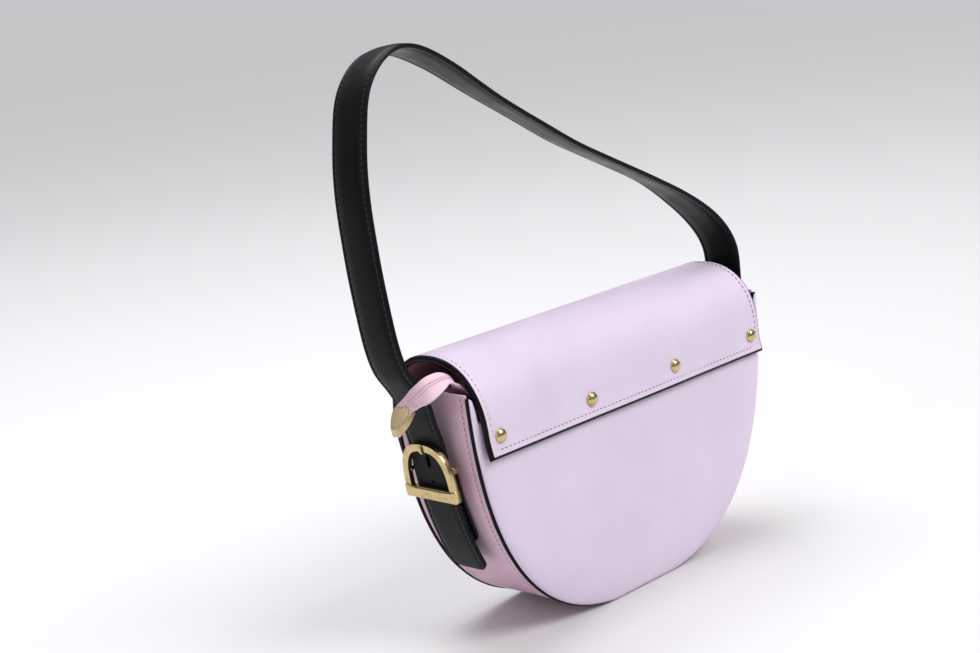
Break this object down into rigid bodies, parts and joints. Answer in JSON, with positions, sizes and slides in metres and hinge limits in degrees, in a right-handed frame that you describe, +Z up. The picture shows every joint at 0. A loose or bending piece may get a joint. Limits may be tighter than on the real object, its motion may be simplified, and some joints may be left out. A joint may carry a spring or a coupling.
{
  "type": "crossbody purse",
  "caption": "Half-moon leather crossbody purse with a studded fold-over flap, a zip mouth under it and a strap held by side buckles.",
  "frame": {"origin": "centre of the flat patch on the gusset that the purse stands on", "axes": "+X to the wearer's right along the mouth, -Y is the front with the flap's studs, +Z up from the base to the strap"},
  "size_m": [0.2998, 0.0749, 0.3232],
  "materials": {
    "lilac_leather": "smooth satin",
    "rose_leather": "smooth satin",
    "flap_lining_leather": "matt",
    "black_edge": "satin edge paint",
    "black_leather": "satin",
    "board": "matt",
    "foam": "matt",
    "lining_cloth": "matt weave",
    "zip_tape": "woven",
    "zip_coil": "satin",
    "steel": "plain",
    "gold_metal": "polished"
  },
  "bodies": {
    "bag": {"back_board": "board", "back_edge": "black_edge", "back_lining": "lining_cloth", "back_padding": "foam", "back_panel": "lilac_leather", "base_board": "board", "buckle_left": "gold_metal", "buckle_right": "gold_metal", "flap_back_core": "black_edge", "flap_back_lining": "flap_lining_leather", "flap_back_outer": "lilac_leather", "front_board": "board", "front_edge": "black_edge", "front_lining": "lining_cloth", "front_padding": "foam", "front_panel": "lilac_leather", "gusset": "rose_leather", "gusset_lining": "lining_cloth", "heel_bar_left": "gold_metal", "heel_bar_right": "gold_metal", "inner_pocket": "lining_cloth", "panel_magnet_left": "steel", "panel_magnet_right": "steel", "side_tab_left": "black_leather", "side_tab_right": "black_leather", "strap_end_left": "black_leather", "strap_end_right": "black_leather", "zip_coil_back": "zip_coil", "zip_coil_front": "zip_coil", "zip_end_cap": "gold_metal", "zip_stop": "gold_metal", "zip_tail": "zip_tape", "zip_tape_back": "zip_tape", "zip_tape_front": "zip_tape"},
    "flap": {"flap_front_core": "black_edge", "flap_front_lining": "flap_lining_leather", "flap_front_outer": "lilac_leather", "flap_plate_left": "steel", "flap_plate_right": "steel", "stud_1": "gold_metal", "stud_2": "gold_metal", "stud_3": "gold_metal", "stud_4": "gold_metal"},
    "strap_loop": {"strap": "black_leather"},
    "zip_runner": {"zip_slider": "gold_metal"},
    "zip_puller": {"zip_pull": "gold_metal"},
    "tongue_left": {"prong_left": "gold_metal"},
    "tongue_right": {"prong_right": "gold_metal"}
  },
  "joints": [
    {"name": "flap_open", "type": "hinge", "parent": "bag", "child": "flap", "pos_m": [0, 0.0037, 0.1617], "axis": [-1, 0, 0], "range_deg": [0, 90]},
    {"name": "strap_swing", "type": "hinge", "parent": "bag", "child": "strap_loop", "pos_m": [0, 0, 0.14], "axis": [-1, 0, 0], "range_deg": [-8, 60]},
    {"name": "zip_run", "type": "slide", "parent": "bag", "child": "zip_runner", "axis": [-1, 0, 0], "range_m": [0, 0.188]},
    {"name": "pull_lift", "type": "hinge", "parent": "zip_runner", "child": "zip_puller", "pos_m": [0.096, 0, 0.1423], "axis": [0, 1, 0], "range_deg": [0, 150]},
    {"name": "tongue_left_lift", "type": "hinge", "parent": "bag", "child": "tongue_left", "pos_m": [-0.12477, 0, 0.103], "axis": [0, -1, 0], "range_deg": [0, 20]},
    {"name": "tongue_right_lift", "type": "hinge", "parent": "bag", "child": "tongue_right", "pos_m": [0.12477, 0, 0.103], "axis": [0, 1, 0], "range_deg": [0, 20]}
  ]
}
